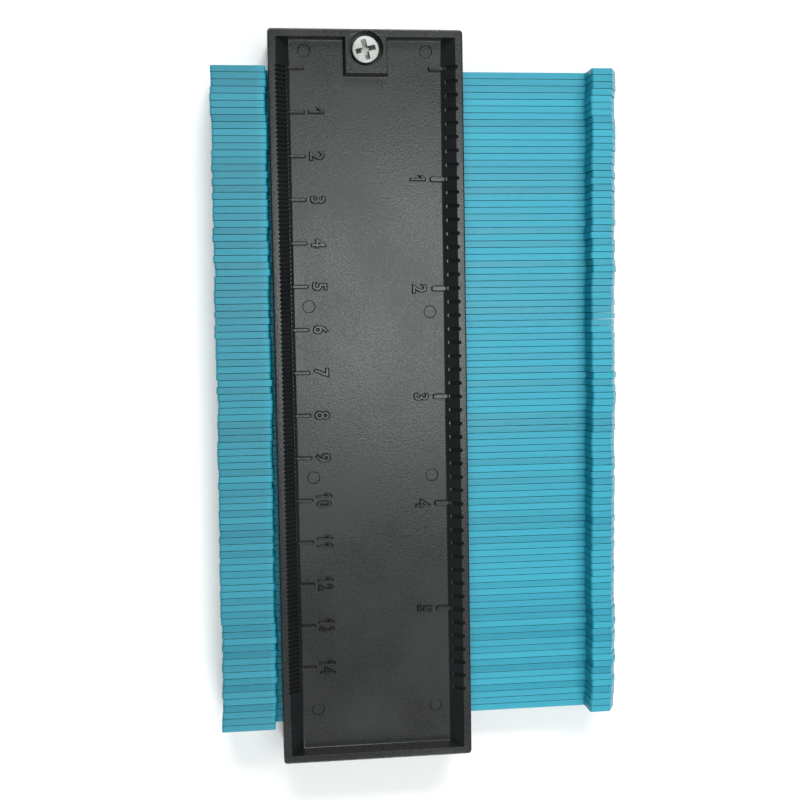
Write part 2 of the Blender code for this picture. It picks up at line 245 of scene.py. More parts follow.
def teal_abs():
    """Teal ABS in thin mouldings, each with its own shade."""
    material, tree, place = new_material("teal_abs_thin_moulded")
    own = add_node(tree, "ShaderNodeAttribute", attribute_name="blade_shade").outputs["Fac"]
    drawn = add_node(tree, "ShaderNodeMapping", {"Vector": place, "Scale": STREAK_STRETCH})
    streaks = add_node(tree, "ShaderNodeTexNoise", {"Vector": drawn, "Scale": 1 / STREAK_SIZE, "Detail": 2.0})
    ripples = add_node(tree, "ShaderNodeTexNoise", {"Vector": place, "Scale": 1 / RIPPLE_SIZE, "Detail": 3.0})
    tones = {0: streaks, 1: STREAK_SHARE, 2: own}
    total = add_node(tree, "ShaderNodeMath", tones, operation="MULTIPLY_ADD")
    shade = add_node(tree, "ShaderNodeMapRange", {"Value": total, "From Min": 0.1, "From Max": 1.4})
    teals = {"Factor": shade, 6: linear("#108197"), 7: linear("#2299b0")}
    colour = add_node(tree, "ShaderNodeMix", teals, data_type="RGBA")
    along = add_node(tree, "ShaderNodeSeparateXYZ", {"Vector": place}).outputs["X"]
    # Beyond the frame's end, on the butt heads, the teal is multiplied darker and greyer.
    fade = {"Value": along, "From Min": cover_low.x - BUTT_FADE, "From Max": cover_low.x}
    butt_share = add_node(tree, "ShaderNodeMapRange", {**fade, "To Min": 1.0, "To Max": 0.0})
    tinted = {"Factor": butt_share, 6: colour.outputs[2], 7: BUTT_TINT}
    butt_darkened = add_node(tree, "ShaderNodeMix", tinted, data_type="RGBA", blend_type="MULTIPLY")
    spread = {"From Min": 0.3, "From Max": 0.7, "To Min": 0.3, "To Max": 0.4}
    rippled = add_node(tree, "ShaderNodeMapRange", {"Value": ripples, **spread})
    dulled = {0: own, 1: OWN_DULLNESS, 2: rippled}
    rough = add_node(tree, "ShaderNodeMath", dulled, operation="MULTIPLY_ADD")
    bump = add_node(tree, "ShaderNodeBump", {"Height": ripples, "Strength": 0.2, "Distance": RIPPLE_HEIGHT})
    finish = {"Base Color": butt_darkened.outputs[2], "Roughness": rough, "IOR": ABS_IOR, "Normal": bump}
    return close_material(material, finish)


teal = teal_abs()

# %% [markdown]
# ## Zinc-plated steel
#
# The screw is stamped steel with a bright zinc plate. Barrel plating leaves it clouded with
# tiny dents, which break up the reflections. So the colour is one light grey, while the
# roughness and a shallow bump vary over 0.7 mm.

# %% Zinc-plated steel
DENT_SIZE = 0.7 * MM
DENT_DEPTH = 0.05 * MM


def zinc_plate():
    """Bright barrel-plated zinc."""
    material, tree, place = new_material("zinc_plated_steel_barrelled")
    dents = add_node(tree, "ShaderNodeTexNoise", {"Vector": place, "Scale": 1 / DENT_SIZE, "Detail": 4.0})
    spread = {"From Min": 0.35, "From Max": 0.7, "To Min": 0.36, "To Max": 0.54}
    cloud = add_node(tree, "ShaderNodeMapRange", {"Value": dents, **spread})
    bump = add_node(tree, "ShaderNodeBump", {"Height": dents, "Strength": 0.25, "Distance": DENT_DEPTH})
    finish = {"Base Color": linear("#a2a4a0"), "Metallic": 1.0, "Roughness": cloud, "Normal": bump}
    return close_material(material, finish)


zinc = zinc_plate()

# %% [markdown]
# ## Closed-cell foam rubber
#
# The friction strips are cut from black foam sheet. Its cells are a few tenths of a
# millimetre wide and were cut open at the surface, so a Voronoi pattern of that size makes
# small pits, painted darker inside as shade, and the rubber between them is completely dull.

# %% Foam rubber
CELL_SIZE = 0.4 * MM
CELL_DEPTH = 0.1 * MM


def foam_rubber():
    """Black closed-cell foam, cut from sheet."""
    material, tree, place = new_material("foam_rubber_cut_sheet")
    cells = add_node(tree, "ShaderNodeTexVoronoi", {"Vector": place, "Scale": 1 / CELL_SIZE})
    pits_and_shade = add_node(tree, "ShaderNodeMapRange", {"Value": cells, "From Min": 0.1, "From Max": 0.6})
    # The pits are painted darker than the rubber between them, as shade in the hollows.
    blacks = {"Factor": pits_and_shade, 6: linear("#0c0c0d"), 7: linear("#252526")}
    colour = add_node(tree, "ShaderNodeMix", blacks, data_type="RGBA")
    bump = add_node(tree, "ShaderNodeBump", {"Height": pits_and_shade, "Strength": 0.8, "Distance": CELL_DEPTH})
    finish = {"Base Color": colour.outputs[2], "Roughness": 0.92, "Normal": bump}
    return close_material(material, finish)


foam = foam_rubber()

# %% [markdown]
# ## Helpers for meshes
#
# A few short tools serve every piece. One puts a mesh in the scene, one reads it back with
# its modifiers applied, and one skins a row of equal rings into a closed solid, the way a
# boat is planked over its ribs. The last one finishes a piece. It deletes faces that a
# Boolean left back to back, gives the piece its material and smooth shading that stays sharp
# at real corners, and weights the normals by face area, so that large flat faces look flat
# right up to their rounded edges.

# %% Making meshes
MERGE_DISTANCE = 0.0001 * MM


def put(name, mesh):
    """Place a mesh in the scene as an object."""
    item = bpy.data.objects.new(name, mesh)
    bpy.context.scene.collection.objects.link(item)
    return item


def applied(item):
    """The mesh of an object with its modifiers applied."""
    bpy.context.view_layer.update()
    graph = bpy.context.evaluated_depsgraph_get()
    return bpy.data.meshes.new_from_object(item.evaluated_get(graph))


def discard(*items):
    """Remove objects that were only tools."""
    for item in items:
        bpy.data.objects.remove(item, do_unlink=True)


def to_mesh(name, shape):
    """Turn a bmesh into a mesh, its faces pointing outwards."""
    bmesh.ops.recalc_face_normals(shape, faces=shape.faces)
    mesh = bpy.data.meshes.new(name)
    shape.to_mesh(mesh)
    shape.free()
    return mesh


def skin(name, rings):
    """Join equal rings of points into one closed solid."""
    shape = bmesh.new()
    rows = [[shape.verts.new(point) for point in ring] for ring in rings]
    for row, following in zip(rows, rows[1:]):
        for index in range(len(row)):
            after = (index + 1) % len(row)
            shape.faces.new((row[index], row[after], following[after], following[index]))
    shape.faces.new(rows[0])
    shape.faces.new(rows[-1])
    return to_mesh(name, shape)


def turned(name, profile, sides, centre=(0.0, 0.0)):
    """Spin a profile of (radius, height) points about a vertical axis into a closed solid."""
    angles = [2 * math.pi * side / sides for side in range(sides)]
    rings = []
    for radius, height in profile:
        circle = [(radius * math.cos(angle), radius * math.sin(angle)) for angle in angles]
        rings.append([(centre[0] + x, centre[1] + y, height) for x, y in circle])
    return skin(name, rings)


print("helpers ready; corners closer than", MERGE_DISTANCE, "m are merged")

# %% Cutting and finishing meshes
SHARP_ABOVE = math.radians(32)


def open_edges(mesh):
    """How many edges don't join exactly two faces."""
    uses = [0] * len(mesh.edges)
    for loop in mesh.loops:
        uses[loop.edge_index] += 1
    return sum(1 for use in uses if use != 2)


def boolean(piece, tool, operation):
    """Cut a tool out of a piece, or add it. This solver also takes tools that cross themselves."""
    modifier = piece.modifiers.new(tool.name, "BOOLEAN")
    modifier.operation = operation
    modifier.solver = "MANIFOLD"
    modifier.object = tool
    piece.data = applied(piece)
    piece.modifiers.clear()
    print(operation.lower(), tool.name, "leaves", open_edges(piece.data), "open edges")


def drop_flaps(shape):
    """Delete faces that lie back to back on the same corners, as slivers of a Boolean do."""
    by_corners = {}
    for face in shape.faces:
        by_corners.setdefault(frozenset(face.verts), []).append(face)
    flaps = [face for faces in by_corners.values() if len(faces) > 1 for face in faces]
    bmesh.ops.delete(shape, geom=flaps, context="FACES")
    return len(flaps)


def finish_piece(item, material):
    """Give a piece its material and its shading."""
    shape = bmesh.new()
    shape.from_mesh(item.data)
    bmesh.ops.remove_doubles(shape, verts=shape.verts, dist=MERGE_DISTANCE)
    flaps = drop_flaps(shape)
    for face in shape.faces:
        face.smooth = True
        face.material_index = 0
    for edge in shape.edges:
        edge.smooth = edge.calc_face_angle(math.pi) < SHARP_ABOVE
    loose = [edge for edge in shape.edges if not edge.is_manifold]
    shape.to_mesh(item.data)
    shape.free()
    item.data.materials.clear()
    item.data.materials.append(material)
    if loose or flaps:
        print(item.name, "had", flaps, "flaps and has", len(loose), "open edges")
    weighted = item.modifiers.new("weighted", "WEIGHTED_NORMAL")
    weighted.keep_sharp = True
    item.data = applied(item)
    item.modifiers.clear()
    item.data.name = item.name
    return item


print("edges stay sharp above", round(math.degrees(SHARP_ABOVE)), "degrees")

# %% [markdown]
# ## Repeating things with Geometry Nodes
#
# Graduations repeat at an even pitch, so one tree makes every row of them: a line of points,
# a copy of one tool on each point, and then real geometry, because a Boolean and a file
# export both need more than instances. The tool, the count, the first place and the step are
# inputs of the tree, so the millimetre row and the inch row differ only in their numbers.

# %% A tree that makes a row


def new_tree(name, **inputs):
    """A geometry tree with named inputs, and the sockets that bring them in."""
    tree = bpy.data.node_groups.new(name, "GeometryNodeTree")
    for label, kind in inputs.items():
        tree.interface.new_socket(label, in_out="INPUT", socket_type="NodeSocket" + kind)
    tree.interface.new_socket("Geometry", in_out="OUTPUT", socket_type="NodeSocketGeometry")
    return tree, add_node(tree, "NodeGroupInput").outputs


def copy_to(tree, points, thing):
    """Put a copy of one object on each point."""
    shape = add_node(tree, "GeometryNodeObjectInfo", {"Object": thing}).outputs["Geometry"]
    return add_node(tree, "GeometryNodeInstanceOnPoints", {"Points": points, "Instance": shape})


def close_tree(tree, copies, material):
    """Make copies real, give them their material and send them out of the tree."""
    real = add_node(tree, "GeometryNodeRealizeInstances", {"Geometry": copies})
    painted = add_node(tree, "GeometryNodeSetMaterial", {"Geometry": real, "Material": material})
    add_node(tree, "NodeGroupOutput", {"Geometry": painted})
    print(tree.name, "has", len(tree.nodes), "nodes")
    return tree


def row_tree():
    """Copies of one object along a straight line."""
    tree, given = new_tree(
        "row_of_marks", Mark="Object", Count="Int", First="Vector", Step="Vector", Material="Material"
    )
    course = {"Count": given["Count"], "Start Location": given["First"], "Offset": given["Step"]}
    line = add_node(tree, "GeometryNodeMeshLine", course)
    return close_tree(tree, copy_to(tree, line, given["Mark"]), given["Material"])


def grow(name, tree, values, start=None):
    """Run a tree on a mesh and keep what it makes as a plain object."""
    carrier = put(name + "_carrier", start or bpy.data.meshes.new(name))
    modifier = carrier.modifiers.new(tree.name, "NODES")
    modifier.node_group = tree
    for socket in tree.interface.items_tree:
        if socket.in_out == "INPUT" and socket.name in values:
            modifier[socket.identifier] = values[socket.name]
    mesh = applied(carrier)
    carrier.modifiers.remove(modifier)
    discard(carrier)
    return put(name, mesh)


row_of_marks = row_tree()

# %% [markdown]
# ## The cover before it is engraved
#
# The cover could be built again from an outline, but then every wall, hole and peg would have
# to be repeated exactly. A copy of the frame's own solid is safer. Its loose triangles are
# merged, and flat neighbours are dissolved into whole faces, which gives clean edges to
# round. The block that holds the screw first gets sides that slope a little. The mould left
# a larger radius round the outside of the rim than anywhere else, so those edges are picked by
# where they lie and rounded before the others.

# %% Tools that round chosen edges
FLAT_WITHIN = math.radians(0.5)
BEVEL_ABOVE = math.radians(35)
CLOSE = 0.01 * MM


def merged_copy(node):
    """A copy of a solid's mesh as a bmesh, with whole flat faces and no stored normals."""
    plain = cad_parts[node].data.copy()
    if plain.has_custom_normals:
        plain.attributes.remove(plain.attributes["custom_normal"])
    shape = bmesh.new()
    shape.from_mesh(plain)
    bpy.data.meshes.remove(plain)
    bmesh.ops.remove_doubles(shape, verts=shape.verts, dist=MERGE_DISTANCE)
    bmesh.ops.dissolve_limit(shape, angle_limit=FLAT_WITHIN, verts=shape.verts, edges=shape.edges)
    return shape


def round_edges(shape, chosen, radius, segments):
    """Round the edges for which chosen(edge) is true."""
    edges = [edge for edge in shape.edges if len(edge.link_faces) == 2 and chosen(edge)]
    bmesh.ops.bevel(
        shape, geom=edges, offset=radius, segments=segments, profile=0.5, affect="EDGES", clamp_overlap=True
    )
    return len(edges)


def is_corner(edge):
    """Whether two faces meet at a real corner."""
    return edge.calc_face_angle(0.0) > BEVEL_ABOVE


def lies_at(edge, height):
    """Whether an edge is a corner that lies level at a height."""
    return is_corner(edge) and all(abs(vert.co.z - height) < CLOSE for vert in edge.verts)


print("corners are rounded above", round(math.degrees(BEVEL_ABOVE)), "degrees")

# %% Round the edges of the cover
RIM_ROUND = 0.32 * MM
RIM_REACH = 0.3 * MM
EDGE_ROUND = 0.12 * MM
FOOT_ROUND = 0.18 * MM
BLOCK_DRAFT = 0.35 * MM


def on_outer_rim(edge):
    """Whether an edge runs round the outside of the cover at its top."""
    for vert in edge.verts:
        from_side = min(cover_high.x - vert.co.x, vert.co.x - cover_low.x)
        from_end = min(cover_high.y - vert.co.y, vert.co.y - cover_low.y)
        if min(from_side, from_end) > RIM_REACH:
            return False
    return lies_at(edge, rim_z)


def lean_block(shape):
    """Move the foot of the screw block outwards, so that its sides slope as the mould's did."""
    moved = 0
    for vert in shape.verts:
        across = vert.co.x - middle_x
        under_block = vert.co.y > 0.0 and abs(across) < foot / 2
        if under_block and abs(vert.co.z - floor_z) < CLOSE:
            vert.co.x += math.copysign(BLOCK_DRAFT, across)
            if vert.co.y < floor_high.y - BLOCK_DRAFT:
                vert.co.y -= BLOCK_DRAFT
            moved += 1
    return moved


cover_shape = merged_copy("front_cover")
print("faces before rounding:", len(cover_shape.faces), "corners moved:", lean_block(cover_shape))
print("outer rim edges:", round_edges(cover_shape, on_outer_rim, RIM_ROUND, 3))
print("foot edges:", round_edges(cover_shape, lambda edge: lies_at(edge, floor_z), FOOT_ROUND, 2))
print("other top edges:", round_edges(cover_shape, lambda edge: lies_at(edge, rim_z), EDGE_ROUND, 2))
cover = put("front_cover_moulding", to_mesh("front_cover_moulding", cover_shape))

# %% [markdown]
# ## Raised marks and numbers
#
# Centimetre and inch marks stand up from the ruler's floor, and so do the numbers. Letters in
# a mould are cut with a tapered tool, so on the part their sides slope. That slope is what
# makes them readable in black on black: their tops shine like the floor, their sides do not.
# A curve with a bevel gives exactly this form, from a drawn outline or from text, and the
# digits are narrowed before the bevel so that their strokes keep their width. A number of two
# digits is narrowed once more as a whole. The built-in letters have a plain bar for a 1, so
# the 1 with its flag is drawn here. A thin plate inside the floor joins all the numbers, so
# that one Boolean adds them.

# %% Turn flat outlines into raised shapes
ROUND_END_STEPS = 5
MARK_DRAFT = 0.31 * MM
MARK_SINK = 0.2 * MM
MARK_SKIRT = 0.02 * MM


def raised(name, curve):
    """Turn a filled flat curve into a mesh with sloping sides that stands on the floor."""
    curve.fill_mode = "BOTH"
    curve.extrude = MARK_SINK
    curve.bevel_depth = MARK_DRAFT
    curve.bevel_resolution = 0
    guide = put(name, curve)
    mesh = applied(guide)
    discard(guide)
    shape = bmesh.new()
    shape.from_mesh(mesh)
    bmesh.ops.remove_doubles(shape, verts=shape.verts, dist=MERGE_DISTANCE)
    for vert in shape.verts:
        if vert.co.z > MARK_SINK + MARK_DRAFT / 2:
            vert.co.z = MARK_RISE
        elif vert.co.z > 0:
            vert.co.z = -MARK_SKIRT
        elif vert.co.z < -MARK_SINK - MARK_DRAFT / 2:
            vert.co.z = -2 * MARK_SINK
        else:
            vert.co.z = -MARK_SINK
    return to_mesh(name, shape)


def outline(name, points):
    """A closed flat curve through points."""
    curve = bpy.data.curves.new(name, "CURVE")
    curve.dimensions = "2D"
    spline = curve.splines.new("POLY")
    spline.points.add(len(points) - 1)
    for knot, (x, y) in zip(spline.points, points):
        knot.co = (x, y, 0.0, 1.0)
    spline.use_cyclic_u = True
    return curve


def bar_outline(name, start, stop, width):
    """A flat round-ended bar between two places on X."""
    radius = width / 2
    points = []
    for centre, turn in ((stop - radius, -90), (start + radius, 90)):
        for step in range(2 * ROUND_END_STEPS + 1):
            angle = math.radians(turn + 180 * step / (2 * ROUND_END_STEPS))
            points.append((centre + radius * math.cos(angle), radius * math.sin(angle)))
    return outline(name, points)


print("sides lean", round(math.degrees(math.atan(MARK_DRAFT / MARK_RISE))), "degrees")

# %% Raise the centimetre and inch marks
ZERO_INSET = 8.4 * MM
CENTIMETRE = 10 * MM
CENTIMETRES = 14
INCH = 25.4 * MM
INCHES = 5

zero_y = cover_high.y - ZERO_INSET


def apply_row(piece, tool, count, pitch, operation):
    """Add or cut copies of one tool, from the ruler's zero downwards."""
    course = {"Count": count, "First": (0.0, zero_y, 0.0), "Step": (0.0, -pitch, 0.0)}
    row = grow(tool.name + "_row", row_of_marks, {"Mark": tool, "Material": black, **course})
    boolean(piece, row, operation)
    discard(tool, row)


def raise_marks(name, side, length, width, count, pitch):
    """A row of raised bars on the cover that start at the foot of one slope."""
    start = foot - length + MARK_DRAFT
    stop = foot + width / 2
    mesh = raised(name, bar_outline(name, start, stop, width))
    turn = Matrix.Rotation(math.pi if side < 0 else 0.0, 4, "Z")
    mesh.transform(Matrix.Translation((middle_x, 0.0, floor_z)) @ turn)
    apply_row(cover, put(name, mesh), count, pitch, "UNION")


raise_marks("centimetre_mark", -1, 3.5 * MM, width=0.42 * MM, count=CENTIMETRES + 1, pitch=CENTIMETRE)
raise_marks("inch_mark", 1, 3.1 * MM, width=0.85 * MM, count=INCHES + 1, pitch=INCH)

# %% Draw the digits
DIGIT_HEIGHT = 3.3 * MM
DIGIT_SQUEEZE = 0.88
LETTER_SHARE = 0.729
ONE_HALF_WIDTH = 0.16 * MM
ONE_FLAG_REACH = 0.8 * MM
ONE_FLAG_DROP = 0.75 * MM
ONE_FLAG_STROKE = 0.4 * MM


def one_outline():
    """A 1 with a flag, its middle at the origin."""
    top = DIGIT_HEIGHT / 2
    half = ONE_HALF_WIDTH
    tip = top - ONE_FLAG_DROP
    points = [(half, -top), (half, top), (-half, top), (-ONE_FLAG_REACH, tip)]
    points += [(-ONE_FLAG_REACH, tip - ONE_FLAG_STROKE), (-half, top - ONE_FLAG_STROKE), (-half, -top)]
    return outline("digit_1", points)


def letter_outline(character):
    """A digit of the built-in letters, narrowed, its middle at the origin."""
    letter = bpy.data.curves.new("digit_" + character, "FONT")
    letter.body = character
    letter.size = DIGIT_HEIGHT / LETTER_SHARE
    letter.resolution_u = 3
    guide = put("digit", letter)
    bpy.context.view_layer.update()
    graph = bpy.context.evaluated_depsgraph_get()
    curve = guide.evaluated_get(graph).to_curve(graph).copy()
    points = [point.co for spline in curve.splines for point in spline.bezier_points]
    centre = (Vector(map(min, *points)) + Vector(map(max, *points))) / 2
    curve.transform(Matrix.Diagonal((DIGIT_SQUEEZE, 1.0, 1.0, 1.0)) @ Matrix.Translation(-centre))
    discard(guide)
    return curve


digits = {"1": raised("digit_1", one_outline())}
for character in "023456789":
    digits[character] = raised("digit_" + character, letter_outline(character))
print("digits:", {character: len(mesh.polygons) for character, mesh in digits.items()})

# %% Raise the numbers
PAIR_SQUEEZE = 0.78
DIGIT_ADVANCE = 1.8 * MM
CENTIMETRE_NUMBERS = middle_x - 11.6 * MM
INCH_NUMBERS = middle_x + 11.8 * MM
TYPE_HALF_WIDTH = 15 * MM
TYPE_MARGIN = 3 * MM


def add_number(shape, text, x, y):
    """Add a number that reads with its top towards +X, narrower when it has two digits."""
    squeeze = PAIR_SQUEEZE if len(text) > 1 else 1.0
    turned_narrow = Matrix.Rotation(-math.pi / 2, 4, "Z") @ Matrix.Diagonal((squeeze, 1.0, 1.0, 1.0))
    for index, character in enumerate(text):
        along = (index - (len(text) - 1) / 2) * DIGIT_ADVANCE
        mesh = digits[character].copy()
        mesh.transform(Matrix.Translation((x, y - along, floor_z)) @ turned_narrow)
        shape.from_mesh(mesh)


number_shape = bmesh.new()
for last, pitch, x in ((CENTIMETRES, CENTIMETRE, CENTIMETRE_NUMBERS), (INCHES, INCH, INCH_NUMBERS)):
    for value in range(1, last + 1):
        add_number(number_shape, str(value), x, zero_y - value * pitch)
numbers = put("numbers", to_mesh("numbers", number_shape))
left = middle_x - TYPE_HALF_WIDTH
right = middle_x + TYPE_HALF_WIDTH
start = zero_y - CENTIMETRES * CENTIMETRE - TYPE_MARGIN
stop = zero_y - CENTIMETRE + TYPE_MARGIN
corners = [(left, start), (right, start), (right, stop), (left, stop)]
rings = [[(x, y, floor_z - sink * MARK_SINK) for x, y in corners] for sink in (2.5, 0.5)]
type_plate = put("type_plate", skin("type_plate", rings))
boolean(numbers, type_plate, "UNION")
print("numbers:", len(numbers.data.polygons), "faces")
boolean(cover, numbers, "UNION")
discard(numbers, type_plate)

# %% [markdown]
# ## The millimetre and inch grooves
#
# Both slopes of the tray are graduated with round-ended grooves. Millimetres run down one
# slope, eighths of an inch down the other. Each groove nicks the edge of the rim with its
# outer end and stops just above the foot of the slope on a short level step. The wide steps
# of the eighths catch the light from above as bright dots. The tool is skinned over rings:
# half a circle with a blunt tip narrows it at each end, and its underside follows the slope.

# %% Cut the grooves
MILLIMETRES = 145
EIGHTHS = 46
EIGHTH = INCH / 8
BLUNT_TIP = 12
ABOVE_RIM = 1.0 * MM


def groove_tool(name, side, inner, outer, width, depth, step_height):
    """A round-ended bar along X, from inner to outer past the foot of one slope."""
    radius = width / 2
    end = []
    for step in range(ROUND_END_STEPS + 1):
        angle = math.radians(BLUNT_TIP + (90 - BLUNT_TIP) * step / ROUND_END_STEPS)
        end.append((radius * (1 - math.cos(angle)), radius * math.sin(angle)))
    places = [(inner + run, half) for run, half in end]
    level_until = (step_height + depth) / slope_climb
    if level_until > places[-1][0]:
        places.append((level_until, radius))
    places += [(outer - run, half) for run, half in reversed(end)]
    rings = []
    high = rim_z + ABOVE_RIM
    for run, half in places:
        x = middle_x + side * (foot + run)
        low = floor_z + max(run * slope_climb - depth, step_height)
        rings.append([(x, -half, low), (x, half, low), (x, half, high), (x, -half, high)])
    return put(name, skin(name, rings))


fine = {"width": 0.63 * MM, "depth": 0.42 * MM, "step_height": 0.22 * MM}
fine_tool = groove_tool("millimetre_groove", -1, inner=0.5 * MM, outer=slope_run + 0.3 * MM, **fine)
wide = {"width": 0.95 * MM, "depth": 0.5 * MM, "step_height": 0.48 * MM}
wide_tool = groove_tool("eighth_groove", 1, inner=0.7 * MM, outer=slope_run + 0.55 * MM, **wide)
print("groove tools:", len(fine_tool.data.polygons), "and", len(wide_tool.data.polygons), "faces")
apply_row(cover, fine_tool, MILLIMETRES + 1, 1.0 * MM, "DIFFERENCE")
apply_row(cover, wide_tool, EIGHTHS + 1, EIGHTH, "DIFFERENCE")

# %% [markdown]
# ## Ejector marks
#
# Eight pins pushed each cover out of its mould, and each pin left a shallow round print in
# the ruler's floor. They are cut with short turned plugs, slightly tapered, at the places
# where the real ones sit.

# %% Press the ejector marks
PIN_RADIUS = 1.5 * MM
PIN_DEPTH = 0.22 * MM
PIN_TAPER = 0.2 * MM
PIN_SIDES = 32
# Millimetres to the side of the middle and along the ruler.
PIN_PLACES = [(-14.1, 80.75), (14.1, 80.75), (-14.2, 22.2), (14.2, 20.6)]
PIN_PLACES += [(-13.9, -17.8), (14.1, -18.0), (-14.0, -73.2), (14.2, -73.7)]

pins = bmesh.new()
profile = [(PIN_RADIUS - PIN_TAPER, floor_z - PIN_DEPTH), (PIN_RADIUS + PIN_TAPER, floor_z + PIN_DEPTH)]
for across, along in PIN_PLACES:
    pins.from_mesh(turned("pin", profile, PIN_SIDES, (middle_x + across * MM, along * MM)))
pin_plugs = put("pin_plugs", to_mesh("pin_plugs", pins))
boolean(cover, pin_plugs, "DIFFERENCE")
discard(pin_plugs)

# %% [markdown]
# ## Filling the large faces again
#
# After all this, the ruler's floor is one face with a few thousand corners, and a fan of
# triangles over such a face can fold over itself and show as a black sliver. Blender's
# constrained Delaunay routine fills it properly: it keeps the outline and picks the fattest
# triangles that fit. A face whose outline it would change is left as it was.

# %% Finish the front cover
MANY_CORNERS = 60
FILL_INSIDE = 1
FILL_ERROR = 1e-6


def fill_again(mesh):
    """Fill every flat face that has many corners with Delaunay triangles."""
    shape = bmesh.new()
    shape.from_mesh(mesh)
    bmesh.ops.remove_doubles(shape, verts=shape.verts, dist=MERGE_DISTANCE)
    filled = 0
    for face in [face for face in shape.faces if len(face.verts) > MANY_CORNERS]:
        across = face.normal.orthogonal().normalized()
        along = face.normal.cross(across)
        corners = list(face.verts)
        flat = [Vector((corner.co.dot(across), corner.co.dot(along))) / MM for corner in corners]
        border = [range(len(flat))]
        points, _, triangles, origins, _, _ = delaunay_2d_cdt(flat, [], border, FILL_INSIDE, FILL_ERROR)
        filling = []
        if len(points) <= len(corners):
            filling = [[origins[index][0] for index in triangle] for triangle in triangles]
        sides = {frozenset(side) for three in filling for side in zip(three, three[1:] + three[:1])}
        if not all(frozenset((index - 1, index)) in sides for index in range(1, len(corners))):
            print("left as it was: a face with", len(corners), "corners")
            continue
        for three in filling:
            shape.faces.new([corners[index] for index in three])
        shape.faces.remove(face)
        filled += 1
    shape.to_mesh(mesh)
    shape.free()
    return filled


print("faces filled again:", fill_again(cover.data))
finish_piece(cover, black)
print("front cover:", len(cover.data.polygons), "faces")

# %% [markdown]
# ## The back cover
#
# Both covers came out of the same mould, and the back one is turned over about X. So its mesh
# is a copy of the first, turned half a revolution about the line through the middle of the
# frame. A turn, unlike a mirror, keeps the numbers readable and the faces outward.

# %% Turn a copy over for the back cover
centre = Vector((middle_x, (cover_low.y + cover_high.y) / 2, parting_z))
turn_over = Matrix.Translation(centre) @ Matrix.Rotation(math.pi, 4, "X") @ Matrix.Translation(-centre)
back_mesh = cover.data.copy()
back_mesh.transform(turn_over)
back_cover = put("back_cover_moulding", back_mesh)
print("back cover from z", in_mm([min(vert.co.z for vert in back_mesh.vertices)]))

# %% [markdown]
# ## The blades
#
# All 97 blades are one moulding. The frame holds one of them alone in a node of its own, so
# that node is the pattern: its edges get a small radius, which makes the fine double line
# between neighbours, and it swells by 0.04 mm, which narrows the gap between them. The other
# nodes hold two blades each, every one at the place where it was last pushed. A small mesh
# with one point for each blade carries those places, and a tree puts the pattern on the
# points and stores a random shade on each copy.

# %% One blade as a pattern
BLADE_ROUND = 0.1 * MM
BLADE_SWELL = 0.04 * MM
SINGLE = "blades_49"

single_low, single_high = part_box(SINGLE)
blade_thickness = single_high.y - single_low.y


def blade_pattern():
    """The single blade, with rounded edges, its butt end and its +Y face at the origin."""
    shape = merged_copy(SINGLE)
    round_edges(shape, is_corner, BLADE_ROUND, 2)
    bmesh.ops.translate(shape, vec=(-single_low.x, -single_high.y, 0.0), verts=shape.verts)
    for vert in shape.verts:
        vert.co.y += BLADE_SWELL * (vert.co.y / blade_thickness + 0.5)
    return put("blade_pattern", to_mesh("blade_pattern", shape))


pattern = blade_pattern()
print("blade:", in_mm(single_high - single_low), "with", len(pattern.data.polygons), "faces")

# %% Where each blade stands


def blade_places(node):
    """The end of the butt head and the +Y face of each blade in a node."""
    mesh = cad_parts[node].data
    low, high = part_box(node)
    places = []
    for outer, top in ((high.y, high.y), (low.y, low.y + blade_thickness)):
        face = [vert.co.x for vert in mesh.vertices if abs(vert.co.y - outer) < CLOSE]
        places.append((min(face), top, 0.0))
    return places if high.y - low.y > 1.5 * blade_thickness else places[:1]


blade_nodes = sorted(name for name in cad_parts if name.startswith("blades_"))
every_place = {node: blade_places(node) for node in blade_nodes}
print("blades:", sum(len(places) for places in every_place.values()))

# %% Grow the blades


def stack_tree():
    """Copies of one blade on given points, each with a shade of its own."""
    tree, given = new_tree(
        "stack_of_blades", Places="Geometry", Blade="Object", Seed="Int", Material="Material"
    )
    shade = add_node(tree, "FunctionNodeRandomValue", {"Seed": given["Seed"]}, data_type="FLOAT")
    copies = copy_to(tree, given["Places"], given["Blade"])
    stored = {"Geometry": copies, "Name": "blade_shade", "Value": shade.outputs[1]}
    shaded = add_node(tree, "GeometryNodeStoreNamedAttribute", stored, domain="INSTANCE")
    return close_tree(tree, shaded, given["Material"])


stack_of_blades = stack_tree()
blade_pieces = {}
for seed, node in enumerate(blade_nodes, start=1):
    points = bpy.data.meshes.new(node)
    points.from_pydata(every_place[node], [], [])
    values = {"Blade": pattern, "Seed": seed, "Material": teal}
    piece = grow(node + "_moulded", stack_of_blades, values, points)
    blade_pieces[node] = finish_piece(piece, teal)
discard(pattern)
print("blade pieces:", len(blade_pieces))

# %% [markdown]
# ## The pan-head screws
#
# A pan head is a turned form: a low dome with a rounded rim and a flat underside. Its profile
# is spun round the axis. The cross recess is made by a punch with four tapering wings, so the
# tool is two crossed wedges that narrow towards the tip. The thread is a ridge wound down
# the shank. It is hidden in the frame, but a screw without a thread would be a rivet.

# %% Make a wedge of the punch
RECESS_REACH = 2.45 * MM
RECESS_WIDTH = 1.15 * MM
RECESS_DEPTH = 1.7 * MM
PUNCH_ABOVE = 0.4 * MM
PUNCH_TOP_SHARE = 1.12
PUNCH_TIP_SHARE = 0.38


def wing(name, turn):
    """One wedge of the recess punch, its tip at the bottom."""
    rings = []
    for height, share in ((PUNCH_ABOVE, PUNCH_TOP_SHARE), (-RECESS_DEPTH, PUNCH_TIP_SHARE)):
        reach = RECESS_REACH * share
        half = RECESS_WIDTH / 2 * (0.55 + 0.45 * share)
        corners = [(-reach, -half), (reach, -half), (reach, half), (-reach, half)]
        rings.append([(x, y, height) for x, y in corners])
    mesh = skin(name, rings)
    mesh.transform(Matrix.Rotation(turn, 4, "Z"))
    return put(name, mesh)


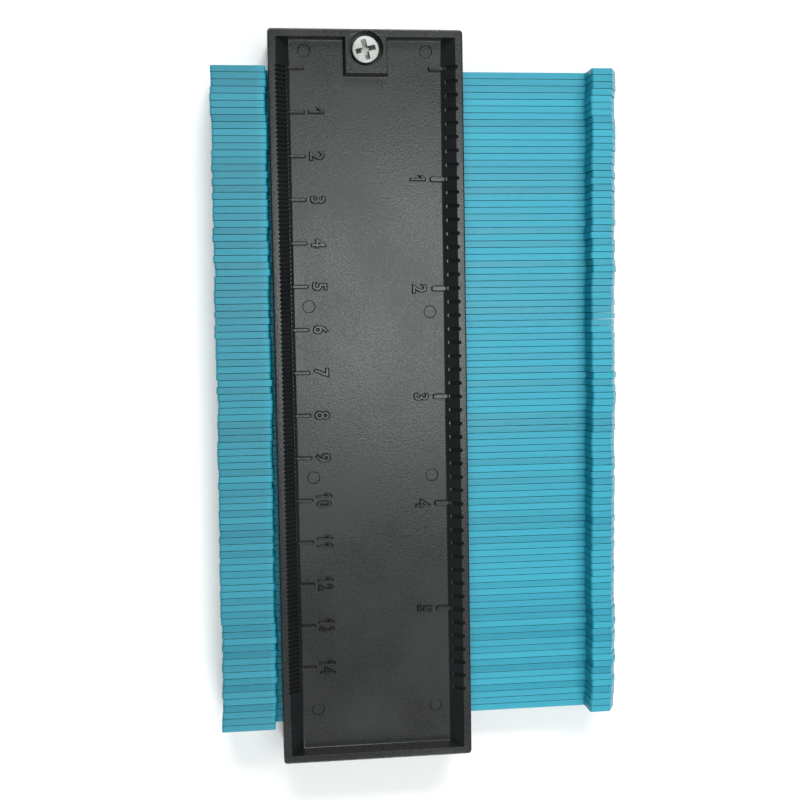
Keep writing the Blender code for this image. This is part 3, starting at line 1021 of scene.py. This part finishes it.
screw_low, screw_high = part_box("front_screw")
head_radius = (screw_high.x - screw_low.x) / 2
screw_axis = (screw_low + screw_high) / 2
print("screw head radius", in_mm([head_radius]), "axis at", in_mm(screw_axis))

# %% Wind a thread
TURN_STEPS = 24
RUN_IN_STEPS = TURN_STEPS / 3
RUN_IN_SINK = 0.05 * MM
THREAD_FOOT = 0.75 * MM
THREAD_FOOT_SINK = 0.15 * MM
THREAD_CREST = 0.14 * MM
THREAD_PITCH = 1.1 * MM


def ridge(name, root, crest, start, stop):
    """A thread: a tapered ridge wound round the shank, closed at both ends."""
    rings = []
    steps = int((start - stop) / THREAD_PITCH * TURN_STEPS)
    for step in range(steps + 1):
        angle = 2 * math.pi * step / TURN_STEPS
        height = start - THREAD_PITCH * step / TURN_STEPS
        share = min(1.0, step / RUN_IN_STEPS, (steps - step) / RUN_IN_STEPS)
        outer = root + (crest - root) * share - RUN_IN_SINK * (1 - share)
        inner = root - THREAD_FOOT_SINK
        section = [(inner, -THREAD_FOOT / 2), (outer, -THREAD_CREST / 2)]
        section += [(outer, THREAD_CREST / 2), (inner, THREAD_FOOT / 2)]
        rings.append([(r * math.cos(angle), r * math.sin(angle), height + up) for r, up in section])
    print(name, "has", round(steps / TURN_STEPS, 1), "turns")
    return put(name, skin(name, rings))


# %% Turn a screw and punch its recess
SPIN_STEPS = 48
RECESS_TURN = math.radians(14)
SHANK_RADIUS = 1.45 * MM
NECK_RADIUS = SHANK_RADIUS * 0.97
ROOT_RADIUS = SHANK_RADIUS - 0.35 * MM
HEAD_HEIGHT = 2.0 * MM
HEAD_EDGE = 0.12 * MM
HEAD_SIDE = 0.75 * MM
DOME_ROUND = 0.22 * MM
DOME_RISE = 0.14 * MM
DOME_STEPS = 6
DOME_TOP = 0.05 * MM


def screw_profile(length):
    """Half the outline of a screw, from its tip up the shank and over the head."""
    tip = [(0.12 * MM, -length), (0.55 * ROOT_RADIUS, -length + 0.5 * MM)]
    shank = [(ROOT_RADIUS, -length + 1.3 * MM), (ROOT_RADIUS, -HEAD_HEIGHT - 0.9 * MM)]
    neck = [(NECK_RADIUS, -HEAD_HEIGHT - 0.5 * MM), (NECK_RADIUS, -HEAD_HEIGHT)]
    head = [(head_radius - HEAD_EDGE, -HEAD_HEIGHT), (head_radius, -HEAD_HEIGHT + HEAD_EDGE)]
    head.append((head_radius, -HEAD_HEIGHT + HEAD_SIDE))
    for step in range(1, DOME_STEPS + 1):
        angle = math.pi / 2 * step / DOME_STEPS
        radius = head_radius - DOME_ROUND * (1 - math.cos(angle))
        head.append((radius, -DOME_RISE - DOME_ROUND * (1 - math.sin(angle))))
    for step in range(1, DOME_STEPS + 1):
        share = step / DOME_STEPS
        radius = (head_radius - DOME_ROUND) * (1 - share) + DOME_TOP * share
        head.append((radius, -DOME_RISE * (1 - share) ** 2))
    return tip + shank + neck + head


def make_screw(name):
    """A pan-head screw that stands on Z, the top of its head at the origin."""
    length = screw_high.z - screw_low.z
    piece = put(name, turned(name, screw_profile(length), SPIN_STEPS))
    tools = [wing("wing_across", RECESS_TURN), wing("wing_along", RECESS_TURN + math.pi / 2)]
    for tool in tools:
        boolean(piece, tool, "DIFFERENCE")
    thread = ridge("thread", ROOT_RADIUS, SHANK_RADIUS, -HEAD_HEIGHT - 1.2 * MM, -length + 1.1 * MM)
    boolean(piece, thread, "UNION")
    discard(*tools, thread)
    return piece


front_screw = make_screw("front_pan_head_screw")
front_screw.data.transform(Matrix.Translation((screw_axis.x, screw_axis.y, screw_high.z)))
back_screw = put("back_pan_head_screw", front_screw.data.copy())
back_screw.data.transform(turn_over)
for screw in (front_screw, back_screw):
    finish_piece(screw, zinc)
print("screw:", len(front_screw.data.polygons), "faces")

# %% [markdown]
# ## The foam strips
#
# A strip of foam lies in a groove of each cover and presses on the blades. Cut foam has
# rounded edges, and where it has been squeezed between the blades it keeps a shallow print of
# each one. Its section is a rounded rectangle, repeated along its length with a slight wave
# at the pitch of the blades, and skinned like the other parts.

# %% Lay the foam strips
STRIP_ROUND = 0.3 * MM
STRIP_PRINT = 0.06 * MM
PRINTS_PER_BLADE = 4
STRIP_CORNER_STEPS = 4


def strip_section(low, high, pressed):
    """A rounded rectangle in X and Z, its pressed side drawn in by a little."""
    left = low.x + STRIP_ROUND
    right = high.x - STRIP_ROUND
    bottom = low.z + STRIP_ROUND
    top = high.z - STRIP_ROUND
    corners = [(right, top, 0), (left, top, 90), (left, bottom, 180), (right, bottom, 270)]
    points = []
    middle = (low.z + high.z) / 2
    for x, z, turn in corners:
        for step in range(STRIP_CORNER_STEPS + 1):
            angle = math.radians(turn + 90 * step / STRIP_CORNER_STEPS)
            height = z + STRIP_ROUND * math.sin(angle)
            towards_blades = (height - middle) * (parting_z - middle) > 0
            points.append((x + STRIP_ROUND * math.cos(angle), height - (pressed if towards_blades else 0.0)))
    return points


def foam_strip(name, node):
    """A foam strip with a shallow print of every blade."""
    low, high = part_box(node)
    first, second = every_place[blade_nodes[0]]
    pitch = abs(second[1] - first[1])
    count = round((high.y - low.y) / pitch) * PRINTS_PER_BLADE
    sign = 1 if parting_z > low.z else -1
    rings = []
    for step in range(count + 1):
        y = low.y + (high.y - low.y) * step / count
        pressed = sign * STRIP_PRINT * (0.5 - 0.5 * math.cos(2 * math.pi * (y - low.y) / pitch))
        rings.append([(x, y, z) for x, z in strip_section(low, high, pressed)])
    return finish_piece(put(name, skin(name, rings)), foam)


front_strip = foam_strip("front_foam_strip", "front_strip")
back_strip = foam_strip("back_foam_strip", "back_strip")
print("foam strip:", len(front_strip.data.polygons), "faces")

# %% [markdown]
# ## Putting the pieces on their bodies
#
# Each piece rides on the body that carries the solid it stands for, and hides that solid. So
# when a blade slides, its dressed piece slides with it.

dressed = [
    (cover, "frame", "front_cover", "abs_black"),
    (back_cover, "frame", "back_cover", "abs_black"),
    (front_screw, "frame", "front_screw", "zinc_steel"),
    (back_screw, "frame", "back_screw", "zinc_steel"),
    (front_strip, "frame", "front_strip", "foam_rubber"),
    (back_strip, "frame", "back_strip", "foam_rubber"),
]
dressed += [(piece, node, node, "abs_teal") for node, piece in blade_pieces.items()]
for piece, body, node, slot in dressed:
    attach(piece, body)
    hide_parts(node)
print("pieces:", len(dressed))

# %% [markdown]
# ## Floor, light and camera
#
# The gauge lies on a pale board. A small softbox hangs nearly overhead, turned a little in
# its own plane, and what is level in the upper half of the ruler mirrors it. A dim card above
# everything gives the rest of the floor its grey. Two large softboxes, one beyond each end,
# light the teal and the board from an angle that no level face mirrors to the camera.
# Everything that slopes looks past them all into a dim room and stays black, and that
# contrast is what makes the ruler readable. The camera looks almost straight down from about
# 290 mm, a little from the left.

# %% The floor
FLOOR_HALF = 3.0
MOTTLE_SIZE = 2 * MM
MOTTLE_HEIGHT = 0.1 * MM


def painted_board():
    """Matt white paint on a board, with the faint mottle of a roller."""
    material, tree, place = new_material("matt_white_paint_rolled")
    mottle = add_node(tree, "ShaderNodeTexNoise", {"Vector": place, "Scale": 1 / MOTTLE_SIZE, "Detail": 2.0})
    bump = add_node(tree, "ShaderNodeBump", {"Height": mottle, "Strength": 0.05, "Distance": MOTTLE_HEIGHT})
    finish = {"Base Color": linear("#fbfbfa"), "Roughness": 0.8, "Normal": bump}
    return close_material(material, finish)


floor_mesh = bpy.data.meshes.new("floor")
quarters = [(-1, -1), (1, -1), (1, 1), (-1, 1)]
corners = [(x * FLOOR_HALF, y * FLOOR_HALF, cad_box[0].z) for x, y in quarters]
floor_mesh.from_pydata(corners, [], [(0, 1, 2, 3)])
floor_mesh.materials.append(painted_board())
floor = put("floor", floor_mesh)
print("board at", in_mm([cad_box[0].z]))

# %% The light


def softbox(name, place, size, watts, tint="#ffffff"):
    """A rectangular soft light that faces the middle of the board."""
    lamp = bpy.data.lights.new(name, "AREA")
    lamp.color = linear(tint)[:3]
    lamp.shape = "RECTANGLE"
    lamp.size, lamp.size_y = size
    lamp.energy = watts
    item = bpy.data.objects.new(name, lamp)
    item.location = place
    item.rotation_euler = (-Vector(place)).to_track_quat("-Z", "Y").to_euler()
    bpy.context.scene.collection.objects.link(item)
    return item


overhead = softbox("overhead_softbox", (0.08, 0.035, 0.6), size=(0.2, 0.255), watts=0.83, tint="#f6fffb")
overhead.rotation_euler.rotate_axis("Z", math.radians(-22))
softbox("ceiling_card", (0.0, 0.0, 1.1), size=(1.3, 1.3), watts=2.2, tint="#f8fbff")
softbox("upper_softbox", (0.08, 0.88, 0.82), size=(0.9, 0.4), watts=13.4)
softbox("lower_softbox", (0.08, -0.95, 0.75), size=(0.9, 0.6), watts=10.5)

world = bpy.data.worlds.new("dim_room")
world.use_nodes = True
room = world.node_tree.nodes["Background"].inputs
room["Color"].default_value = linear("#c9ccd0")
room["Strength"].default_value = 0.2
bpy.context.scene.world = world
bpy.context.scene.view_settings.view_transform = "Standard"

# %% The camera
CAMERA_PLACE = Vector((-36.73 * MM, 18.38 * MM, 288.73 * MM))
CAMERA_TURN = (-3.688, -6.660, -0.958)
FOCAL_LENGTH = 53.02
SENSOR_WIDTH = 36.0

lens = bpy.data.cameras.new("camera")
lens.lens = FOCAL_LENGTH
lens.sensor_width = SENSOR_WIDTH
lens.clip_start = 0.01
lens.clip_end = 100.0
camera = bpy.data.objects.new("camera", lens)
camera.location = CAMERA_PLACE
camera.rotation_euler = Euler([math.radians(turn) for turn in CAMERA_TURN], "XYZ")
bpy.context.scene.collection.objects.link(camera)
bpy.context.scene.camera = camera
print("camera at", in_mm(camera.location))
